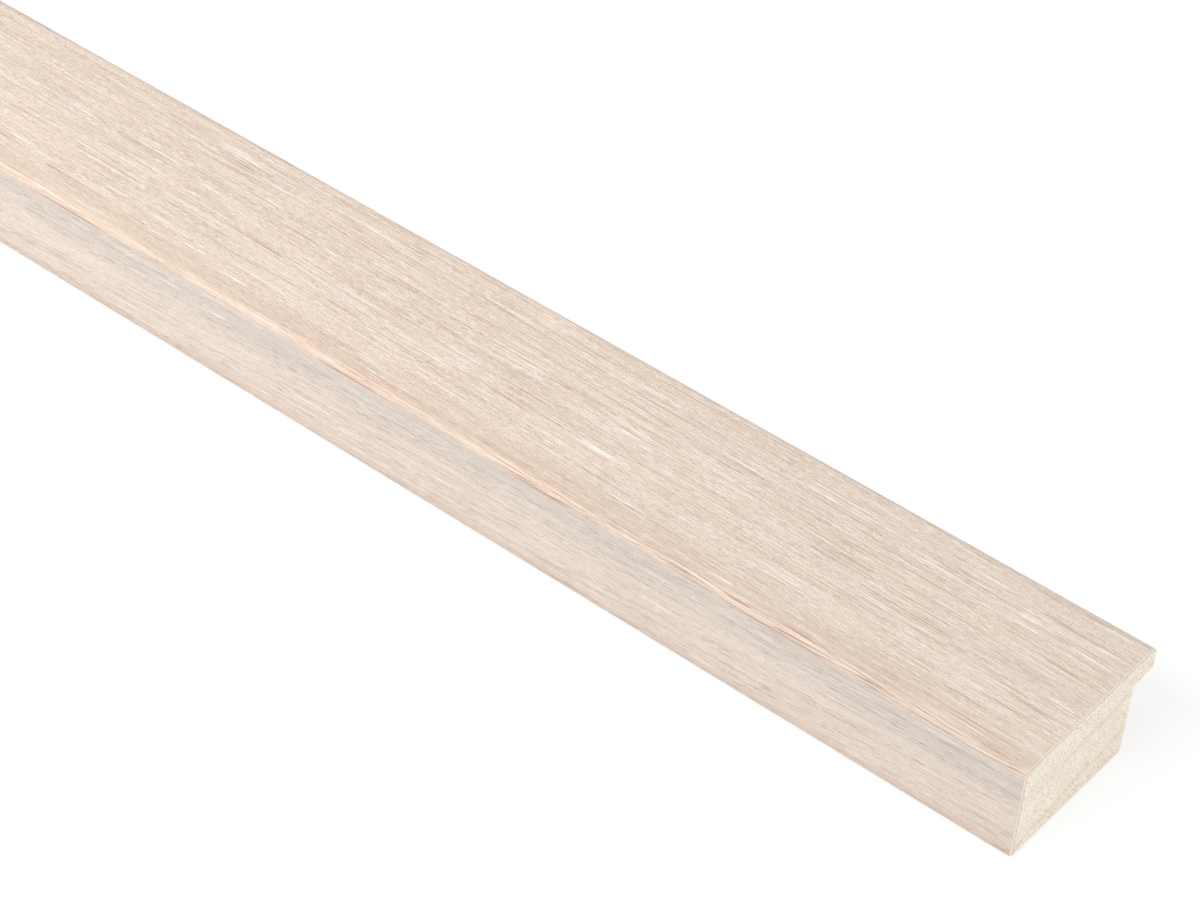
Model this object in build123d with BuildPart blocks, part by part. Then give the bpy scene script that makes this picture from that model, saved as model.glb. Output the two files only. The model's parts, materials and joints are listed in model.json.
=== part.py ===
# A length of picture frame moulding: a batten of pale solid wood with a rebate along
# one lower edge, and a thin veneer wrapped over its outer side and its flat face.
#
# It lies on its back. X runs along the length, Y from the outer side to the sight
# edge, and Z up from the back. The origin is in the middle of the length and of the
# width, on the back. All sizes are in millimetres.
import os
from math import hypot

from build123d import *

# The stick
length = 2400.0
face_width = 40.0

# The face rises a little from the outer side to the sight edge
outer_height = 20.2
sight_height = 21.4

# The rebate, which takes the glass, the picture and the backing board
rebate_width = 6.0
rebate_depth = 15.5
seat_rise = 0.6

# The veneer is bent over the outer arris. At the sight edge it was rounded off with the
# wood under it, and it stops a little above the back.
veneer_thickness = 0.8
outer_arris_radius = 1.5
sight_arris_radius = 2.2
veneer_trim = 0.3

# Places and slopes worked out from the sizes
outer_y = -face_width / 2
sight_y = face_width / 2
rebate_y = sight_y - rebate_width
face_slope = (sight_height - outer_height) / face_width
glued_y = outer_y + veneer_thickness
glued_drop = veneer_thickness * hypot(1, face_slope)
overlap = 1.0


def face_height(y):
    """Height of the face at a distance from the middle of the width."""
    return outer_height + face_slope * (y - outer_y)


# The whole section, veneer and all
with BuildSketch(Plane.YZ) as whole:
    with BuildLine():
        Polyline(
            (outer_y, 0),
            (rebate_y, 0),
            (rebate_y, rebate_depth),
            (sight_y, rebate_depth + seat_rise),
            (sight_y, sight_height),
            (outer_y, outer_height),
            close=True,
        )
    make_face()
    outer_arris = whole.vertices().group_by(Axis.X)[0].sort_by(Axis.Y)[-1]
    fillet(outer_arris, outer_arris_radius)
    sight_arris = whole.vertices().group_by(Axis.X)[-1].sort_by(Axis.Y)[-1]
    fillet(sight_arris, sight_arris_radius)

# Everything on the inner side of the glue line
with BuildSketch(Plane.YZ) as glued:
    with BuildLine():
        Polyline(
            (glued_y, -overlap),
            (sight_y + overlap, -overlap),
            (sight_y + overlap, face_height(sight_y + overlap) - glued_drop),
            (glued_y, face_height(glued_y) - glued_drop),
            close=True,
        )
    make_face()
    inner_arris = glued.vertices().group_by(Axis.X)[0].sort_by(Axis.Y)[-1]
    fillet(inner_arris, outer_arris_radius - veneer_thickness)

# The batten: what the whole section has on the inner side of the glue line
with BuildPart() as core:
    extrude(whole.sketch, amount=length / 2, both=True)
    extrude(glued.sketch, amount=length / 2, both=True, mode=Mode.INTERSECT)
core.part.label = "core"

# The veneer: the rest of the whole section, stopping just above the back
with BuildPart() as veneer:
    extrude(whole.sketch, amount=length / 2, both=True)
    extrude(glued.sketch, amount=length / 2, both=True, mode=Mode.SUBTRACT)
    with BuildSketch(Plane.YZ):
        with Locations((outer_y + veneer_thickness / 2, veneer_trim / 2)):
            Rectangle(veneer_thickness, veneer_trim)
    extrude(amount=length / 2, both=True, mode=Mode.SUBTRACT)
veneer.part.label = "veneer"

os.makedirs("parts", exist_ok=True)
export_step(core.part, "parts/core.step")
export_step(veneer.part, "parts/veneer.step")
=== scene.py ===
import json
import math

import bpy
from mathutils import Matrix, Vector


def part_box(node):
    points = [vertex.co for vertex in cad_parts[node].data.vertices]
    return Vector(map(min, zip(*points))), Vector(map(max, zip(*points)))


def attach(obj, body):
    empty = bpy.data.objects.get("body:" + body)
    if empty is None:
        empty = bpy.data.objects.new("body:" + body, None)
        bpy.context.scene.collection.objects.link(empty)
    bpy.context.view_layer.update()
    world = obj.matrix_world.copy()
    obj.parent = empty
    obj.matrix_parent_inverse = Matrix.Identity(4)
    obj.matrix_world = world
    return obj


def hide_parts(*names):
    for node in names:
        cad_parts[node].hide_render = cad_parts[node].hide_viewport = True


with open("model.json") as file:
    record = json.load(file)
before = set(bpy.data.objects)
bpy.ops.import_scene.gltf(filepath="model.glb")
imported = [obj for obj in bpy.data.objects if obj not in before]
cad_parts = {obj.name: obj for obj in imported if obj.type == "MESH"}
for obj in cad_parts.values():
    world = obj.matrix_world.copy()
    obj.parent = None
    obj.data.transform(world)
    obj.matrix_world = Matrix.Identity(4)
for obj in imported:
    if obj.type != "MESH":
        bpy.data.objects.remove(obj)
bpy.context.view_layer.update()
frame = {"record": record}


# The core: a straight batten of pale, even-grained hardwood, planed on its back and in
# its rebate, and sawn square at both ends. The veneer hides its outer side and its top.
# The end of its lip, which is the sight edge, is rounded over and washed white.
core_low, core_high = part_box("core")
veneer_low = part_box("veneer")[0]
mounts = {mount["name"]: mount for mount in frame["record"]["mounts"]}

length = core_high.x - core_low.x
outer_y = veneer_low.y
sight_y = core_high.y
face_width = sight_y - outer_y
veneer_thickness = core_low.y - veneer_low.y
rebate_y = mounts["rebate_wall"]["pos_m"][1]
seat_point = Vector(mounts["rebate_seat"]["pos_m"])
seat_normal = Vector(mounts["rebate_seat"]["axis"])

outer_height = 0.0202
sight_height = 0.0214
outer_arris_radius = 0.0015
sight_arris_radius = 0.0022
back_arris_radius = 0.00025
tilt = math.atan2(sight_height - outer_height, face_width)

# The veneer runs out on the rounded arris at the sight edge. This is how far round that
# is, as the angle turned from the face.
veneer_end = math.acos(1 - veneer_thickness / sight_arris_radius)

# Flats that draw each rounded arris
steps_round = 8


def face_z(y, inset):
    """Height of the face, or of the surface that lies an inset below it."""
    return outer_height + math.tan(tilt) * (y - outer_y) - inset / math.cos(tilt)


def seat_z(y):
    """Height of the rebate's seat, which is the underside of the lip."""
    return seat_point.z - (y - seat_point.y) * seat_normal.y / seat_normal.z


def sight_arc(start, end):
    """Corners along the sight edge's arris, from one angle off the face to another."""
    no_rounding = 0
    middle_y = sight_y - sight_arris_radius
    middle_z = face_z(middle_y, sight_arris_radius)
    turns = [start + (end - start) * step / steps_round for step in range(steps_round + 1)]
    return [
        (middle_y + sight_arris_radius * math.sin(turn - tilt),
         middle_z + sight_arris_radius * math.cos(turn - tilt),
         no_rounding)
        for turn in turns
    ]


def add_node(tree, kind, inputs=None, **settings):
    """Adds a node. Each input is set to a value, or linked where a socket is given."""
    made = tree.nodes.new(kind)
    for name, value in settings.items():
        setattr(made, name, value)
    for key, value in (inputs or {}).items():
        if isinstance(value, bpy.types.NodeSocket):
            tree.links.new(value, made.inputs[key])
        else:
            made.inputs[key].default_value = value
    return made


def add_sockets(tree, ways_in, ways_out):
    """Gives a node group its named inputs and outputs, and returns the sockets inside it."""
    kinds = {
        "number": "NodeSocketFloat",
        "whole number": "NodeSocketInt",
        "vector": "NodeSocketVector",
        "shape": "NodeSocketGeometry",
        "finish": "NodeSocketMaterial",
    }
    for name, kind in ways_in.items():
        tree.interface.new_socket(name, in_out="INPUT", socket_type=kinds[kind])
    for name, kind in ways_out.items():
        tree.interface.new_socket(name, in_out="OUTPUT", socket_type=kinds[kind])
    return tree.nodes.new("NodeGroupInput").outputs, tree.nodes.new("NodeGroupOutput").inputs


# Both pieces are one section swept along the length: this tree rounds the corners of an
# outline, sweeps it along the stick and closes both ends.
sweep_along = bpy.data.node_groups.new("sweep_along", "GeometryNodeTree")
sweep_along.is_modifier = True
sweep_in, sweep_out = add_sockets(
    sweep_along,
    {
        "Outline": "shape",
        "Length": "number",
        "Steps": "whole number",
        "Corner Steps": "whole number",
        "Long Finish": "finish",
        "Cut Finish": "finish",
    },
    {"Stick": "shape"},
)


def sweep_node(kind, inputs=None, **settings):
    """Adds a node to the sweep tree and returns its first output."""
    return add_node(sweep_along, kind, inputs, **settings).outputs[0]


far = sweep_node("ShaderNodeMath", {0: sweep_in["Length"], 1: -0.5}, operation="MULTIPLY")
near = sweep_node("ShaderNodeMath", {0: sweep_in["Length"], 1: 0.5}, operation="MULTIPLY")
line = sweep_node(
    "GeometryNodeCurvePrimitiveLine",
    {"Start": sweep_node("ShaderNodeCombineXYZ", {"X": far}),
     "End": sweep_node("ShaderNodeCombineXYZ", {"X": near})},
)
count = sweep_node("ShaderNodeMath", {0: sweep_in["Steps"], 1: 1.0}, operation="ADD")
path = sweep_node("GeometryNodeResampleCurve", {"Curve": line, "Count": count})
path = sweep_node("GeometryNodeSetCurveTilt", {"Curve": path, "Tilt": math.pi})
corners = sweep_node("GeometryNodeMeshToCurve", {"Mesh": sweep_in["Outline"]})
radius = sweep_node(
    "GeometryNodeInputNamedAttribute", {"Name": "corner_radius"}, data_type="FLOAT"
)
rounded = sweep_node(
    "GeometryNodeFilletCurve",
    {"Curve": corners, "Count": sweep_in["Corner Steps"], "Radius": radius},
    mode="POLY",
)
girth = add_node(sweep_along, "GeometryNodeSplineParameter").outputs["Length"]
measured = sweep_node(
    "GeometryNodeStoreNamedAttribute",
    {"Geometry": rounded, "Name": "girth", "Value": girth},
    data_type="FLOAT", domain="POINT",
)
swept = sweep_node(
    "GeometryNodeCurveToMesh", {"Curve": path, "Profile Curve": measured, "Fill Caps": True}
)
facing = add_node(
    sweep_along, "ShaderNodeSeparateXYZ", {0: sweep_node("GeometryNodeInputNormal")}
).outputs["X"]
endways = sweep_node("ShaderNodeMath", {0: facing}, operation="ABSOLUTE")
sawn = sweep_node("FunctionNodeCompare", {0: endways, 1: 0.5}, operation="GREATER_THAN")
closed = sweep_node("GeometryNodeTriangulate", {"Mesh": swept, "Selection": sawn})
real = sweep_node("GeometryNodeRealizeInstances", {"Geometry": closed})
dressed = sweep_node(
    "GeometryNodeSetMaterial", {"Geometry": real, "Material": sweep_in["Long Finish"]}
)
finished = sweep_node(
    "GeometryNodeSetMaterial",
    {"Geometry": dressed, "Selection": sawn, "Material": sweep_in["Cut Finish"]},
)
sweep_along.links.new(finished, sweep_out["Stick"])

# Lengths that the sweep is cut into, and the sharpest turn that is still shaded smooth
steps_along = 48
smooth_up_to = math.radians(35)


def sweep(name, corners, long_finish, cut_finish):
    """Makes a piece from its section, given as corners with the radius that rounds each."""
    edges = [(i, (i + 1) % len(corners)) for i in range(len(corners))]
    outline = bpy.data.meshes.new(name + "_outline")
    outline.from_pydata([(y, z, 0) for y, z, radius in corners], edges, [])
    radii = outline.attributes.new("corner_radius", "FLOAT", "POINT")
    radii.data.foreach_set("value", [radius for y, z, radius in corners])
    piece = bpy.data.objects.new(name, outline)
    bpy.context.scene.collection.objects.link(piece)
    sizes = {
        "Length": length,
        "Steps": steps_along,
        "Corner Steps": steps_round,
        "Long Finish": long_finish,
        "Cut Finish": cut_finish,
    }
    swept = piece.modifiers.new("sweep", "NODES")
    swept.node_group = sweep_along
    for item in sweep_along.interface.items_tree:
        if item.in_out == "INPUT" and item.name in sizes:
            swept[item.identifier] = sizes[item.name]
    view = bpy.context.evaluated_depsgraph_get()
    mesh = bpy.data.meshes.new_from_object(piece.evaluated_get(view))
    mesh.name = name
    piece.modifiers.remove(swept)
    piece.data = mesh
    mesh.shade_smooth()
    mesh.set_sharp_from_angle(angle=smooth_up_to)
    return piece


# The picture that a piece's colours are baked into, in its own dots
picture_side = 1024
picture_margin = 4
picture_rows = 3

# How much of its true girth a hidden face gets there, and how near counts as the same place
hidden_share = 0.05
same_place = 1e-5


def lay_flat(piece, shown, ends_height, place_on_end):
    """Lays the piece's faces out flat, for the picture that its colours are baked into.

    The long faces go into rows, one above the other, each a third of the length. The
    part of the girth that other wood hides is squeezed. The cut ends go above the rows.
    """
    mesh = piece.data
    flat = mesh.uv_layers.new(name="OFBake").data
    places = [vertex.co for vertex in mesh.vertices]
    girths = [item.value for item in mesh.attributes["girth"].data]
    first = girths.index(0)
    last = max(
        (i for i in range(len(places)) if abs(places[i].x - places[first].x) < same_place),
        key=lambda i: girths[i],
    )
    whole = girths[last] + (places[last] - places[first]).length

    def squeezed(distance):
        return min(distance, shown) + max(distance - shown, 0) * hidden_share

    row_length = length / picture_rows
    row_height = (picture_side - ends_height) / picture_rows
    along_scale = (picture_side - 2 * picture_margin) / row_length
    round_scale = (row_height - 2 * picture_margin) / squeezed(whole)
    for face in mesh.polygons:
        sawn = abs(face.normal.x) > 0.5
        row = min(int((face.center.x + length / 2) / row_length), picture_rows - 1)
        row_start = row * row_length - length / 2
        wraps = max(girths[i] for i in face.vertices) > whole / 2
        for corner, i in zip(face.loop_indices, face.vertices):
            if sawn:
                across, up = place_on_end(places[i])
                up += picture_side - ends_height
            else:
                distance = whole if wraps and girths[i] == 0 else girths[i]
                across = picture_margin + (places[i].x - row_start) * along_scale
                up = row * row_height + picture_margin + squeezed(distance) * round_scale
            flat[corner].uv = (across / picture_side, up / picture_side)


def paint(red, green, blue):
    """A colour named from 0 to 255 a part, as the light that the surface sends back."""
    parts = [value / 255 for value in (red, green, blue)]
    return tuple(((p + 0.055) / 1.055) ** 2.4 for p in parts) + (1.0,)


def maths(tree, operation, *values):
    """One step of arithmetic on the values of a pattern."""
    made = add_node(tree, "ShaderNodeMath", dict(enumerate(values)), operation=operation)
    return made.outputs[0]


def total(tree, *parts):
    """Adds up patterns about zero. Each is a pair of a pattern from 0 to 1 and its strength."""
    result = 0.0
    for value, strength in parts:
        centred = maths(tree, "SUBTRACT", value, 0.5)
        result = maths(tree, "MULTIPLY_ADD", centred, strength, result)
    return result


def ramp(tree, value, low, high, bottom=0.0, top=1.0):
    """Rises smoothly from bottom to top as the value goes from low to high."""
    return add_node(
        tree,
        "ShaderNodeMapRange",
        {"Value": value, "From Min": low, "From Max": high, "To Min": bottom, "To Max": top},
        interpolation_type="SMOOTHSTEP",
    ).outputs[0]


def blend(tree, share, under, over):
    """Lays one colour over another by a share from 0 to 1."""
    return add_node(
        tree, "ShaderNodeMix", {0: share, 6: under, 7: over}, data_type="RGBA", clamp_factor=True
    ).outputs[2]


def new_finish(name):
    """A material and its Principled shader, ready for colour, roughness and relief."""
    finish = bpy.data.materials.new(name)
    finish.use_nodes = True
    return finish, finish.node_tree, finish.node_tree.nodes["Principled BSDF"]


def raise_grain(tree, shader, height):
    """Gives a surface its relief, from a height in metres."""
    relief = add_node(tree, "ShaderNodeBump", {"Height": height, "Distance": 1.0})
    tree.links.new(relief.outputs[0], shader.inputs["Normal"])


# Where a point lies in the grain: how far along the stick, and how far round it, with the
# fibres running a little aslant and in slow waves. The waves are counted in each metre.
waves_along = 9.0
waves_across = 45.0
grain_place = bpy.data.node_groups.new("grain_place", "ShaderNodeTree")
place_in, place_out = add_sockets(
    grain_place,
    {"Along": "number", "Across": "number", "Slant": "number", "Wave": "number"},
    {"Place": "vector"},
)
wave_spot = add_node(
    grain_place, "ShaderNodeCombineXYZ",
    {"X": maths(grain_place, "MULTIPLY", place_in["Along"], waves_along),
     "Y": maths(grain_place, "MULTIPLY", place_in["Across"], waves_across)},
).outputs[0]
wave = add_node(
    grain_place, "ShaderNodeTexNoise",
    {"Vector": wave_spot, "Scale": 1.0, "Detail": 2.0, "Roughness": 0.45},
    noise_dimensions="2D",
).outputs[0]
waved = maths(
    grain_place, "MULTIPLY_ADD",
    maths(grain_place, "SUBTRACT", wave, 0.5), place_in["Wave"], place_in["Across"],
)
slanted = maths(
    grain_place, "MULTIPLY_ADD", place_in["Along"], place_in["Slant"], waved
)
placed = add_node(
    grain_place, "ShaderNodeCombineXYZ", {"X": place_in["Along"], "Y": slanted}
).outputs[0]
grain_place.links.new(placed, place_out["Place"])

# Streaks: lighter and darker threads of wood, drawn out along the grain.
grain_streaks = bpy.data.node_groups.new("grain_streaks", "ShaderNodeTree")
streak_in, streak_out = add_sockets(
    grain_streaks,
    {"Place": "vector", "Length": "number", "Width": "number", "Seed": "number"},
    {"Streaks": "number"},
)
spread = add_node(grain_streaks, "ShaderNodeSeparateXYZ", {0: streak_in["Place"]}).outputs
drawn = add_node(
    grain_streaks, "ShaderNodeCombineXYZ",
    {"X": maths(grain_streaks, "DIVIDE", spread["X"], streak_in["Length"]),
     "Y": maths(grain_streaks, "DIVIDE", spread["Y"], streak_in["Width"]),
     "Z": streak_in["Seed"]},
).outputs[0]
threads = add_node(
    grain_streaks, "ShaderNodeTexNoise",
    {"Vector": drawn, "Scale": 1.0, "Detail": 1.0, "Roughness": 0.5},
).outputs[0]
grain_streaks.links.new(threads, streak_out["Streaks"])


def use(tree, group, **values):
    """Uses a shared pattern. Its inputs are named in small letters."""
    made = add_node(tree, "ShaderNodeGroup", node_tree=group)
    for name, value in values.items():
        socket = made.inputs[name.replace("_", " ").title()]
        if isinstance(value, bpy.types.NodeSocket):
            tree.links.new(value, socket)
        else:
            socket.default_value = value
    return made.outputs[0]


# Pores: the wood's open vessels, cut along their length, which show as thin dashes that
# come in bunches. Each fades in over a little of its own pattern.
dash_fade = 0.06
bunch_fade = 0.08
pore_dashes = bpy.data.node_groups.new("pore_dashes", "ShaderNodeTree")
pore_in, pore_out = add_sockets(
    pore_dashes,
    {"Place": "vector", "Length": "number", "Width": "number", "Thread Level": "number",
     "Bunch Length": "number", "Bunch Width": "number", "Bunch Level": "number",
     "Seed": "number"},
    {"Dashes": "number"},
)
thread = use(
    pore_dashes, grain_streaks, place=pore_in["Place"], length=pore_in["Length"],
    width=pore_in["Width"], seed=pore_in["Seed"],
)
bunch = use(
    pore_dashes, grain_streaks, place=pore_in["Place"], length=pore_in["Bunch Length"],
    width=pore_in["Bunch Width"], seed=maths(pore_dashes, "ADD", pore_in["Seed"], 0.5),
)
over_thread = maths(pore_dashes, "SUBTRACT", thread, pore_in["Thread Level"])
over_bunch = maths(pore_dashes, "SUBTRACT", bunch, pore_in["Bunch Level"])
shown_dashes = maths(
    pore_dashes, "MULTIPLY",
    ramp(pore_dashes, over_thread, 0.0, dash_fade),
    ramp(pore_dashes, over_bunch, 0.0, bunch_fade),
)
pore_dashes.links.new(shown_dashes, pore_out["Dashes"])


def read_grain(tree, slant, wave_size, bend=None, slant_past_bend=0.0):
    """Where a point lies on a swept piece: along from the near end, round it, in the grain.

    Past a bend, which is a distance round the piece, the grain may have another slant.
    """
    spot = add_node(tree, "ShaderNodeTexCoord").outputs["Object"]
    along = add_node(tree, "ShaderNodeSeparateXYZ", {0: spot}).outputs["X"]
    from_end = maths(tree, "SUBTRACT", along, length / 2)
    across = add_node(tree, "ShaderNodeAttribute", attribute_name="girth").outputs["Fac"]
    if bend is not None:
        past = maths(tree, "GREATER_THAN", across, bend)
        slant = maths(tree, "MULTIPLY_ADD", past, slant_past_bend - slant, slant)
    place = use(
        tree, grain_place, along=from_end, across=across, slant=slant, wave=wave_size
    )
    return from_end, across, place


# How far round the batten each face starts, from the left of its back
wall_start = rebate_y - (outer_y + veneer_thickness)
seat_start = wall_start + seat_z(rebate_y)
sight_start = seat_start + math.hypot(sight_y - rebate_y, seat_z(sight_y) - seat_z(rebate_y))
lip_height = sight_arc(math.pi / 2 + tilt, veneer_end)[0][1] - seat_z(sight_y)
core_shown = sight_start + lip_height + sight_arris_radius * (math.pi / 2 + tilt - veneer_end)

# The planed faces: how far the grain strays to the side, how far it waves, its relief, and
# the colours of the bare wood and of the white wash on the sight edge
core_slant = -0.01
core_wave = 0.002
core_grain_height = 0.00002
core_pore_depth = 0.00003
sight_wash_edge = 0.0003
dark_core = paint(218, 200, 174)
light_core = paint(242, 229, 209)
core_pore = paint(190, 162, 130)
sight_wash = paint(232, 223, 212)

planed_wood, tree, shader = new_finish("planed_core_wood")
across, place = read_grain(tree, core_slant, core_wave)[1:]
tone = total(
    tree,
    (use(tree, grain_streaks, place=place, length=0.30, width=0.0060, seed=1.0), 0.9),
    (use(tree, grain_streaks, place=place, length=0.08, width=0.0012, seed=2.0), 0.7),
    (use(tree, grain_streaks, place=place, length=0.02, width=0.0003, seed=3.0), 0.7),
)
bright = maths(tree, "ADD", tone, 0.5)
colour = blend(tree, bright, dark_core, light_core)
pores = use(
    tree, pore_dashes, place=place, length=0.004, width=0.00020, thread_level=0.56,
    bunch_length=0.02, bunch_width=0.0020, bunch_level=0.45, seed=5.0,
)
colour = blend(tree, maths(tree, "MULTIPLY", pores, 0.5), colour, core_pore)
washed = ramp(tree, across, sight_start, sight_start + sight_wash_edge)
washed = maths(tree, "MULTIPLY", washed, ramp(tree, tone, -0.4, 0.3, 0.9, 0.5))
colour = blend(tree, washed, colour, sight_wash)
tree.links.new(colour, shader.inputs["Base Color"])
tree.links.new(ramp(tree, tone, -0.5, 0.5, 0.75, 0.62), shader.inputs["Roughness"])
sunk = maths(tree, "MULTIPLY", pores, -core_pore_depth)
raise_grain(tree, shader, maths(tree, "MULTIPLY_ADD", tone, core_grain_height, sunk))

# The sawn end: the cut vessels are small brown dots, evenly spread. Soft, darker growth
# rings rise towards the sight edge and bow a little, and the saw leaves a faint ripple.
ring_spacing = 0.0087
ring_start = 0.0046
ring_rise = 0.13
ring_bow = 2.2
ring_middle = -0.004
ring_wander = 0.002
sawn_fuzz_height = 0.00005
vessel_depth = 0.00005
saw_mark_height = 0.00001
dark_end = paint(221, 207, 188)
light_end = paint(249, 240, 226)
late_wood_colour = paint(214, 199, 177)
vessel_colour = paint(186, 162, 136)

sawn_end, tree, shader = new_finish("sawn_end_grain")
spot = add_node(tree, "ShaderNodeTexCoord").outputs["Object"]
parts = add_node(tree, "ShaderNodeSeparateXYZ", {0: spot}).outputs
bow = maths(tree, "POWER", maths(tree, "SUBTRACT", parts["Y"], ring_middle), 2.0)
level = maths(tree, "MULTIPLY_ADD", parts["Y"], -ring_rise, parts["Z"])
level = maths(tree, "MULTIPLY_ADD", bow, ring_bow, level)
uneven = add_node(
    tree, "ShaderNodeTexNoise", {"Vector": spot, "Scale": 120.0, "Detail": 2.0}
).outputs[0]
level = maths(tree, "ADD", level, total(tree, (uneven, ring_wander)))
rings = maths(tree, "DIVIDE", maths(tree, "SUBTRACT", level, ring_start), ring_spacing)
off_ring = maths(tree, "ABSOLUTE", maths(tree, "SUBTRACT", rings, maths(tree, "ROUND", rings)))
late_wood = ramp(tree, off_ring, 0.0, 0.12, 1.0, 0.0)
cells = add_node(
    tree, "ShaderNodeTexVoronoi", {"Vector": spot, "Scale": 1700.0, "Randomness": 1.0}
).outputs
drawn_lot = add_node(tree, "ShaderNodeSeparateColor", {0: cells["Color"]}).outputs[0]
vessels = maths(
    tree, "MULTIPLY",
    ramp(tree, cells["Distance"], 0.18, 0.36, 1.0, 0.0), ramp(tree, drawn_lot, 0.1, 0.7),
)
fuzz = add_node(
    tree, "ShaderNodeTexNoise",
    {"Vector": spot, "Scale": 2000.0, "Detail": 2.0, "Roughness": 0.7},
).outputs[0]
cloud = add_node(
    tree, "ShaderNodeTexNoise", {"Vector": spot, "Scale": 260.0, "Detail": 3.0, "Roughness": 0.6}
).outputs[0]
tone = total(tree, (fuzz, 3.2), (cloud, 0.9))
bright = maths(tree, "ADD", tone, 0.6)
colour = blend(tree, bright, dark_end, light_end)
colour = blend(tree, maths(tree, "MULTIPLY", late_wood, 0.35), colour, late_wood_colour)
colour = blend(tree, maths(tree, "MULTIPLY", vessels, 0.75), colour, vessel_colour)
tree.links.new(colour, shader.inputs["Base Color"])
shader.inputs["Roughness"].default_value = 0.85
saw_marks = add_node(
    tree, "ShaderNodeTexWave",
    {"Vector": spot, "Scale": 260.0, "Distortion": 3.0, "Detail": 2.0, "Detail Scale": 1.2},
    bands_direction="Z",
).outputs[1]
height = maths(tree, "MULTIPLY", fuzz, sawn_fuzz_height)
height = maths(tree, "MULTIPLY_ADD", vessels, -vessel_depth, height)
raise_grain(tree, shader, maths(tree, "MULTIPLY_ADD", saw_marks, saw_mark_height, height))

glued_y = outer_y + veneer_thickness
core = sweep(
    "core_batten",
    [
        (glued_y, 0, 0),
        (rebate_y, 0, back_arris_radius),
        (rebate_y, seat_z(rebate_y), 0),
        (sight_y, seat_z(sight_y), back_arris_radius),
        *sight_arc(math.pi / 2 + tilt, veneer_end),
        (glued_y, face_z(glued_y, veneer_thickness), outer_arris_radius - veneer_thickness),
    ],
    planed_wood, sawn_end,
)

# The core's cut ends in the baked picture: dots to each metre, and the height they take
core_end_scale = 11500
core_ends_height = 250


def core_end_place(spot):
    """Where a point of either cut end goes in the picture: the far end is on the left."""
    across = picture_margin + (spot.y - glued_y) * core_end_scale
    if spot.x > 0:
        across += picture_side / 2
    return across, picture_margin + spot.z * core_end_scale


lay_flat(core, core_shown, core_ends_height, core_end_place)
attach(core, "root")
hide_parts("core")


# The veneer: a thin leaf of open-grained wood, glued round the outer side and over the
# face. It is washed white, and the wash sits in its pores. On the bend over the outer
# arris the wash is rubbed thin and the warm wood shows.
tip_girth = sight_arris_radius * veneer_end
face_girth = (
    face_width / math.cos(tilt)
    - sight_arris_radius * math.tan(math.pi / 4 + tilt / 2)
    - outer_arris_radius * math.tan(math.pi / 4 - tilt / 2)
)
bend_start = tip_girth + face_girth
bend_girth = outer_arris_radius * (math.pi / 2 - tilt)
side_start = bend_start + bend_girth
side_top = outer_height - outer_arris_radius * math.tan(math.pi / 4 - tilt / 2)
foot_girth = side_start + side_top - veneer_low.z
bend_middle = bend_start + bend_girth / 2

# In the photo the grain leans one way on the face and the other way on the side
face_slant = -0.014
side_slant = 0.040
veneer_wave = 0.0012
veneer_grain_height = 0.00003
veneer_pore_depth = 0.00003

# Where each change in colour starts and ends: along from the near end, where painted shade
# greys it, back from the start of the bend on the face, and down from its foot on the side
shade_to_near_end = (-0.16, -0.03)
thinner_from = 0.007
thinner_to = 0.002
grey_starts = (-0.0003, 0.0006)
grey_stops = (0.003, 0.009)

# Where the bend is rubbed, from its middle, and how much of either edge is darkened by wear
# and by painted shade
rub_starts = (-0.0018, -0.0002)
rub_stops = (0.0009, 0.0013)
rub_wander = 0.0030
edge_line_place = 0.0011
edge_line_fade = (0.0001, 0.0003)
foot_wear_and_shade_width = 0.0025
tip_wear_and_shade_width = 0.0012

# The wood, as the white wash leaves it, and as painted shade greys it at the near end and on
# the side
dark_thread = paint(210, 190, 172)
light_thread = paint(248, 231, 215)
tan_zone = paint(228, 203, 178)
grey_zone = paint(222, 212, 205)
near_end_shade = paint(212, 204, 197)
thin_wash = paint(214, 190, 166)
shaded_side_wash = paint(230, 221, 216)
grey_under_bend = paint(202, 195, 188)
worn_and_shaded_wood = paint(204, 180, 160)

# Its pores, and the bend where the wash is rubbed through. The warm wood there is painted
# lighter far off, as a painted highlight, and darker at the near end, as painted shade.
brown_pore = paint(180, 144, 116)
grey_pore = paint(160, 148, 140)
white_pore = paint(253, 250, 245)
lit_warm_far = paint(204, 168, 140)
shaded_warm_near = paint(164, 120, 92)
pale_far = paint(238, 217, 200)
pale_near = paint(238, 222, 208)
rubbed_edge = paint(172, 128, 98)

limed_veneer, tree, shader = new_finish("limed_veneer")
along, across, place = read_grain(tree, face_slant, veneer_wave, bend_middle, side_slant)

# Patterns from a single fibre up to a zone several millimetres wide
fibres = use(tree, grain_streaks, place=place, length=0.0018, width=0.00013, seed=11.0)
threads = use(tree, grain_streaks, place=place, length=0.024, width=0.00017, seed=12.0)
zones = use(tree, grain_streaks, place=place, length=0.180, width=0.0060, seed=15.0)
specks = use(tree, grain_streaks, place=place, length=0.0005, width=0.00022, seed=16.0)

on_side = ramp(tree, across, bend_middle, side_start)
calm = ramp(tree, on_side, 0.0, 1.0, 1.0, 1.6)
fine = total(tree, (fibres, 3.1), (threads, 3.0), (specks, 1.9))
fine = maths(tree, "MULTIPLY", fine, calm)
tone = maths(tree, "ADD", fine, total(tree, (zones, 0.1)))
bright = maths(tree, "ADD", tone, 0.55)
colour = blend(tree, bright, dark_thread, light_thread)

# Zones that lean to tan or to grey
tint = use(tree, grain_streaks, place=place, length=0.070, width=0.0030, seed=17.0)
colour = blend(tree, ramp(tree, tint, 0.5, 0.75, 0.0, 0.15), colour, tan_zone)
colour = blend(tree, ramp(tree, tint, 0.5, 0.25, 0.0, 0.15), colour, grey_zone)
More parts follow.
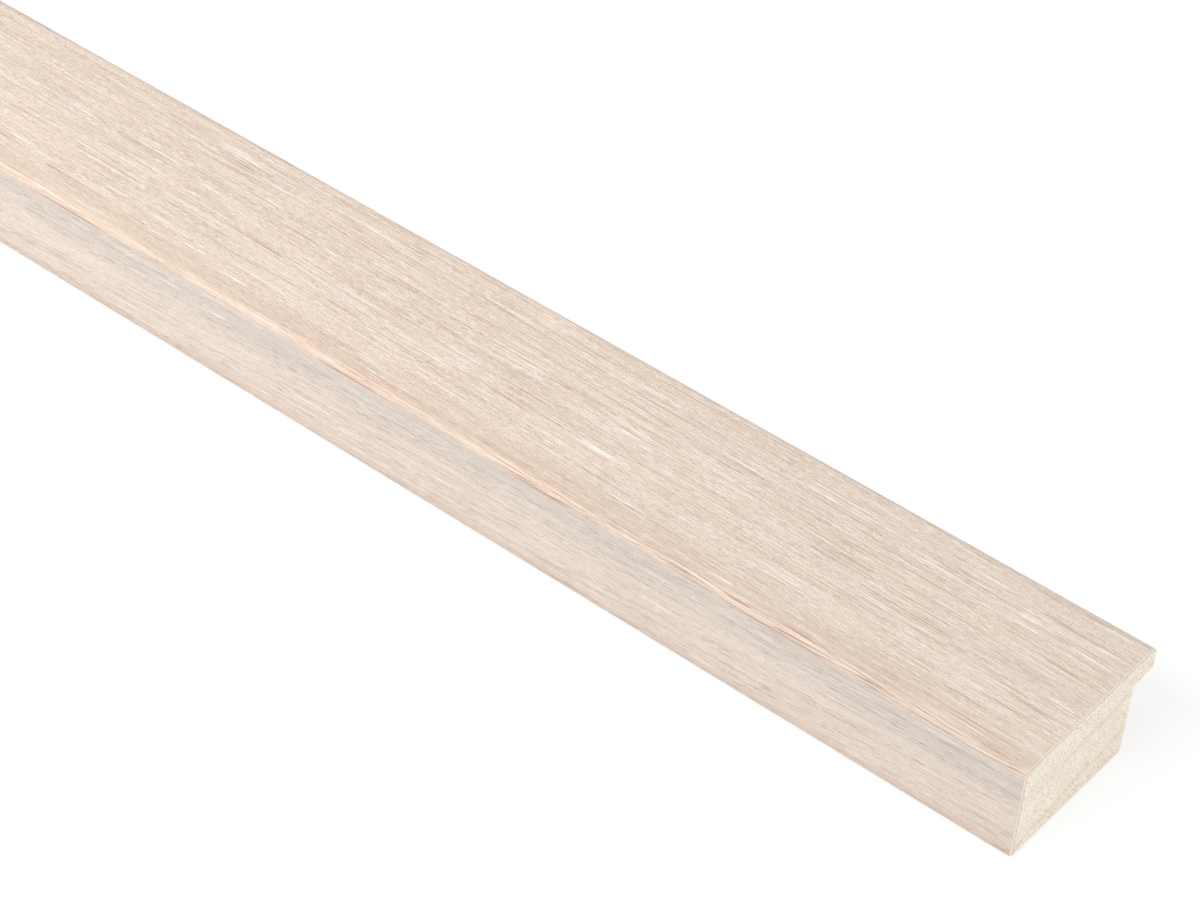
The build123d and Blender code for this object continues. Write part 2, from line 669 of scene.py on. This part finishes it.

# Painted shade greys the near end, and the wash is thinner on the face along the bend
shade_towards_end = ramp(tree, along, *shade_to_near_end)
colour = blend(tree, maths(tree, "MULTIPLY", shade_towards_end, 0.15), colour, near_end_shade)
by_bend = ramp(tree, across, bend_start - thinner_from, bend_start - thinner_to)
colour = blend(tree, maths(tree, "MULTIPLY", by_bend, 0.35), colour, thin_wash)

# Painted shade greys the side, and a greyer band is painted just under the bend
below_bend = maths(tree, "SUBTRACT", across, side_start)
colour = blend(tree, maths(tree, "MULTIPLY", on_side, 0.40), colour, shaded_side_wash)
grey_under_bend_share = maths(
    tree, "MULTIPLY",
    ramp(tree, below_bend, *grey_starts), ramp(tree, below_bend, *grey_stops, 1.0, 0.05),
)
grey_under_bend_share = maths(tree, "MULTIPLY", grey_under_bend_share, ramp(tree, zones, 0.3, 0.6, 0.35, 0.6))
colour = blend(tree, grey_under_bend_share, colour, grey_under_bend)

# Brown pores that the wash missed
brown_pores = use(
    tree, pore_dashes, place=place, length=0.022, width=0.00018, thread_level=0.62,
    bunch_length=0.06, bunch_width=0.0012, bunch_level=0.39, seed=21.0,
)
brown_share = maths(tree, "MULTIPLY", brown_pores, ramp(tree, on_side, 0.0, 1.0, 0.72, 0.42))
colour = blend(tree, brown_share, colour, brown_pore)

# Short grey pores on the side
grey_pores = use(
    tree, pore_dashes, place=place, length=0.0045, width=0.00013, thread_level=0.59,
    bunch_length=0.05, bunch_width=0.0014, bunch_level=0.48, seed=23.0,
)
grey_share = maths(tree, "MULTIPLY", grey_pores, ramp(tree, on_side, 0.0, 1.0, 0.2, 0.5))
colour = blend(tree, grey_share, colour, grey_pore)

# White pores, where the wash lies thick
white_pores = use(
    tree, pore_dashes, place=place, length=0.012, width=0.00024, thread_level=0.59,
    bunch_length=0.035, bunch_width=0.0010, bunch_level=0.52, seed=25.0,
)
white_share = maths(tree, "MULTIPLY", white_pores, ramp(tree, on_side, 0.0, 1.0, 1.0, 0.6))
colour = blend(tree, white_share, colour, white_pore)

# The bend, rubbed through in thin orange-brown lines with white ones between them. The
# rubbing stops sharply on the side and wanders on the face.
wander = use(tree, grain_streaks, place=place, length=0.030, width=1.0, seed=31.0)
off_bend = maths(tree, "SUBTRACT", across, bend_middle)
ragged = maths(tree, "ADD", off_bend, total(tree, (wander, rub_wander), (threads, rub_wander)))
rubbed = maths(
    tree, "MULTIPLY",
    ramp(tree, ragged, *rub_starts), ramp(tree, off_bend, *rub_stops, 1.0, 0.0),
)
hairs = use(tree, grain_streaks, place=place, length=0.013, width=0.00016, seed=33.0)
patches = use(tree, grain_streaks, place=place, length=0.040, width=1.0, seed=35.0)
# Painted highlight lightens the warm wood far off, and painted shade darkens it at the near end
warm = blend(tree, shade_towards_end, lit_warm_far, shaded_warm_near)
pale = blend(tree, shade_towards_end, pale_far, pale_near)
bare = blend(tree, ramp(tree, hairs, 0.42, 0.51), warm, pale)
rub_share = maths(tree, "MULTIPLY", rubbed, ramp(tree, patches, 0.35, 0.65, 0.45, 0.85))
colour = blend(tree, rub_share, colour, bare)
edge_line = ramp(
    tree, maths(tree, "ABSOLUTE", maths(tree, "SUBTRACT", off_bend, edge_line_place)),
    *edge_line_fade, 1.0, 0.0,
)
edge_share = maths(tree, "MULTIPLY", edge_line, ramp(tree, patches, 0.50, 0.62, 0.1, 0.7))
colour = blend(tree, edge_share, colour, rubbed_edge)

# Handling has worn the foot of the side and the edge where the veneer runs out, and painted
# shade darkens both as well
foot_wear_and_shade = ramp(tree, across, foot_girth - foot_wear_and_shade_width, foot_girth)
tip_wear_and_shade = ramp(tree, across, 0.0, tip_wear_and_shade_width, 1.0, 0.0)
wear_and_shade = maths(tree, "MAXIMUM", foot_wear_and_shade, tip_wear_and_shade)
wear_and_shade = maths(tree, "MULTIPLY", wear_and_shade, ramp(tree, threads, 0.35, 0.6, 0.2, 0.7))
colour = blend(tree, wear_and_shade, colour, worn_and_shaded_wood)
tree.links.new(colour, shader.inputs["Base Color"])
tree.links.new(ramp(tree, tone, -0.5, 0.5, 0.72, 0.58), shader.inputs["Roughness"])
height = maths(tree, "MULTIPLY", fine, veneer_grain_height)
open_pores = maths(tree, "MAXIMUM", brown_pores, grey_pores)
height = maths(tree, "MULTIPLY_ADD", open_pores, -veneer_pore_depth, height)
raise_grain(tree, shader, height)

# Its cut edge shows the leaf's own thickness, and the thin brown line of glue that lies
# at the bottom of it and wanders a little.
dark_edge = paint(226, 210, 193)
light_edge = paint(248, 237, 223)
glue_colour = paint(164, 136, 112)
glue_line = 0.00019
glue_fade = 0.00006
glue_wander = 0.00008
cut_fuzz_height = 0.00003

cut_veneer, tree, shader = new_finish("cut_veneer_edge")
spot = add_node(tree, "ShaderNodeTexCoord").outputs["Object"]
parts = add_node(tree, "ShaderNodeSeparateXYZ", {0: spot}).outputs
in_from_side = maths(tree, "SUBTRACT", parts["Y"], outer_y)
face_here = maths(tree, "MULTIPLY_ADD", in_from_side, math.tan(tilt), outer_height)
in_from_face = maths(tree, "SUBTRACT", face_here, parts["Z"])
side_reach = maths(tree, "MAXIMUM", maths(tree, "SUBTRACT", outer_arris_radius, in_from_side), 0.0)
face_reach = maths(tree, "MAXIMUM", maths(tree, "SUBTRACT", outer_arris_radius, in_from_face), 0.0)
reach = maths(
    tree, "SQRT",
    maths(
        tree, "ADD",
        maths(tree, "POWER", side_reach, 2.0), maths(tree, "POWER", face_reach, 2.0),
    ),
)
depth = maths(tree, "SUBTRACT", outer_arris_radius, reach)
fuzz = add_node(
    tree, "ShaderNodeTexNoise", {"Vector": spot, "Scale": 2600.0, "Detail": 2.0}
).outputs[0]
colour = blend(tree, ramp(tree, fuzz, 0.3, 0.7), dark_edge, light_edge)
glue_top = veneer_thickness - glue_line
wavy_depth = maths(tree, "ADD", depth, total(tree, (fuzz, glue_wander)))
glue = ramp(tree, wavy_depth, glue_top, glue_top + glue_fade)
glue = maths(tree, "MULTIPLY", glue, ramp(tree, fuzz, 0.3, 0.6, 0.7, 1.0))
colour = blend(tree, glue, colour, glue_colour)
tree.links.new(colour, shader.inputs["Base Color"])
shader.inputs["Roughness"].default_value = 0.8
raise_grain(tree, shader, maths(tree, "MULTIPLY", fuzz, cut_fuzz_height))

veneer = sweep(
    "veneer_wrap",
    [
        *sight_arc(veneer_end, 0),
        (outer_y, outer_height, outer_arris_radius),
        (outer_y, veneer_low.z, 0),
        (glued_y, veneer_low.z, 0),
        (glued_y, face_z(glued_y, veneer_thickness), outer_arris_radius - veneer_thickness),
    ],
    limed_veneer, cut_veneer,
)

# The veneer's cut ends in the baked picture are straightened into two thin strips, one
# above the other. The skin is the outside of the near end, from its tip to its foot.
veneer_strip_height = 12
veneer_ends_height = 2 * (veneer_strip_height + 2 * picture_margin)
veneer_end_scale = (picture_side - 2 * picture_margin) / foot_girth
skin = sorted(
    (girth.value, vertex.co.y, vertex.co.z)
    for girth, vertex in zip(veneer.data.attributes["girth"].data, veneer.data.vertices)
    if vertex.co.x > length / 2 - same_place and girth.value < foot_girth + same_place
)


def veneer_end_place(spot):
    """Where a point of either cut end goes: round the skin, and in from it."""
    best = None
    for (girth, y, z), (next_girth, next_y, next_z) in zip(skin, skin[1:]):
        start, step = Vector((y, z)), Vector((next_y - y, next_z - z))
        off = Vector((spot.y, spot.z)) - start
        share = min(max(off.dot(step) / step.length_squared, 0), 1)
        gap = (off - step * share).length
        if best is None or gap < best[0]:
            best = gap, girth + share * (next_girth - girth)
    depth, girth = best
    up = picture_margin + depth / veneer_thickness * veneer_strip_height
    if spot.x > 0:
        up += veneer_ends_height / 2
    return picture_margin + girth * veneer_end_scale, up


lay_flat(veneer, foot_girth + veneer_thickness, veneer_ends_height, veneer_end_place)
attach(veneer, "root")
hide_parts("veneer")


# The floor is a plain white sheet. The lens sees it and the room as full white, and it
# keeps the stick's soft shadow.
floor_half = 20.0
floor_drop = 0.0002
white = (1, 1, 1, 1)
floor_grey = (0.8, 0.8, 0.8, 1)
floor_seen_grey = (0.38, 0.38, 0.38, 1)
floor_seen_glow = 0.66
floor_mesh = bpy.data.meshes.new("floor")
floor_mesh.from_pydata(
    [(-floor_half, -floor_half, -floor_drop), (floor_half, -floor_half, -floor_drop),
     (floor_half, floor_half, -floor_drop), (-floor_half, floor_half, -floor_drop)],
    [], [(0, 1, 2, 3)],
)
floor = bpy.data.objects.new("floor", floor_mesh)
bpy.context.scene.collection.objects.link(floor)
floor_finish, tree, shader = new_finish("white_floor")
seen = add_node(tree, "ShaderNodeLightPath").outputs["Is Camera Ray"]
colour = blend(tree, seen, floor_grey, floor_seen_grey)
tree.links.new(colour, shader.inputs["Base Color"])
shader.inputs["Roughness"].default_value = 0.9
glow = add_node(
    tree, "ShaderNodeEmission",
    {"Color": white, "Strength": maths(tree, "MULTIPLY", seen, floor_seen_glow)},
)
both = add_node(tree, "ShaderNodeAddShader", {0: shader.outputs[0], 1: glow.outputs[0]})
tree.links.new(both.outputs[0], tree.nodes["Material Output"].inputs["Surface"])
floor_mesh.materials.append(floor_finish)

# The room lights the stick evenly from all round, and the lens sees it as full white
room_light = 0.63
world = bpy.data.worlds.new("white_room")
bpy.context.scene.world = world
world.use_nodes = True
tree = world.node_tree
background = tree.nodes["Background"]
background.inputs["Color"].default_value = white
rays = add_node(tree, "ShaderNodeLightPath").outputs
seen = maths(tree, "MAXIMUM", rays["Is Camera Ray"], rays["Is Glossy Ray"])
seen = maths(tree, "MAXIMUM", seen, rays["Is Transmission Ray"])
strength = maths(tree, "MULTIPLY_ADD", seen, 1 - room_light, room_light)
tree.links.new(strength, background.inputs["Strength"])


def softbox(name, place, target, width, height, power):
    """An oblong soft lamp, turned towards a point."""
    lamp = bpy.data.lights.new(name, "AREA")
    lamp.shape = "RECTANGLE"
    lamp.size = width
    lamp.size_y = height
    lamp.energy = power
    stand = bpy.data.objects.new(name, lamp)
    stand.location = place
    turn = (Vector(target) - Vector(place)).to_track_quat("-Z", "Y")
    stand.rotation_euler = turn.to_euler()
    bpy.context.scene.collection.objects.link(stand)


# A softbox longer than the stick lights its side and face evenly, and a small one its end
front_middle = -0.15
near_end = (length / 2, 0, 0)
softbox(
    "front_softbox", place=(front_middle, -0.66, 0.68), target=(front_middle, 0, 0),
    width=2.8, height=0.5, power=15.6,
)
softbox(
    "end_softbox", place=(length / 2 + 1.0, -0.1, 0.25), target=near_end,
    width=0.5, height=0.4, power=3.3,
)

# The camera looks down along the stick at its near end, turned a little on its own axis,
# so that the far end runs out of the picture at the upper left.
lens_mm = 99.95
sensor_mm = 36.0
camera_from_end = Vector((0.17184, -0.37158, 0.40819))
aim = Vector((-0.457525, 0.610404, -0.646589))
roll = math.radians(4.309)
camera_data = bpy.data.cameras.new("camera")
camera_data.lens = lens_mm
camera_data.sensor_width = sensor_mm
camera_data.clip_start = 0.01
camera = bpy.data.objects.new("camera", camera_data)
camera.matrix_world = (
    Matrix.Translation(camera_from_end + Vector(near_end))
    @ aim.to_track_quat("-Z", "Y").to_matrix().to_4x4()
    @ Matrix.Rotation(roll, 4, "Z")
)
bpy.context.scene.collection.objects.link(camera)
bpy.context.scene.camera = camera

bpy.context.scene.view_settings.view_transform = "Standard"
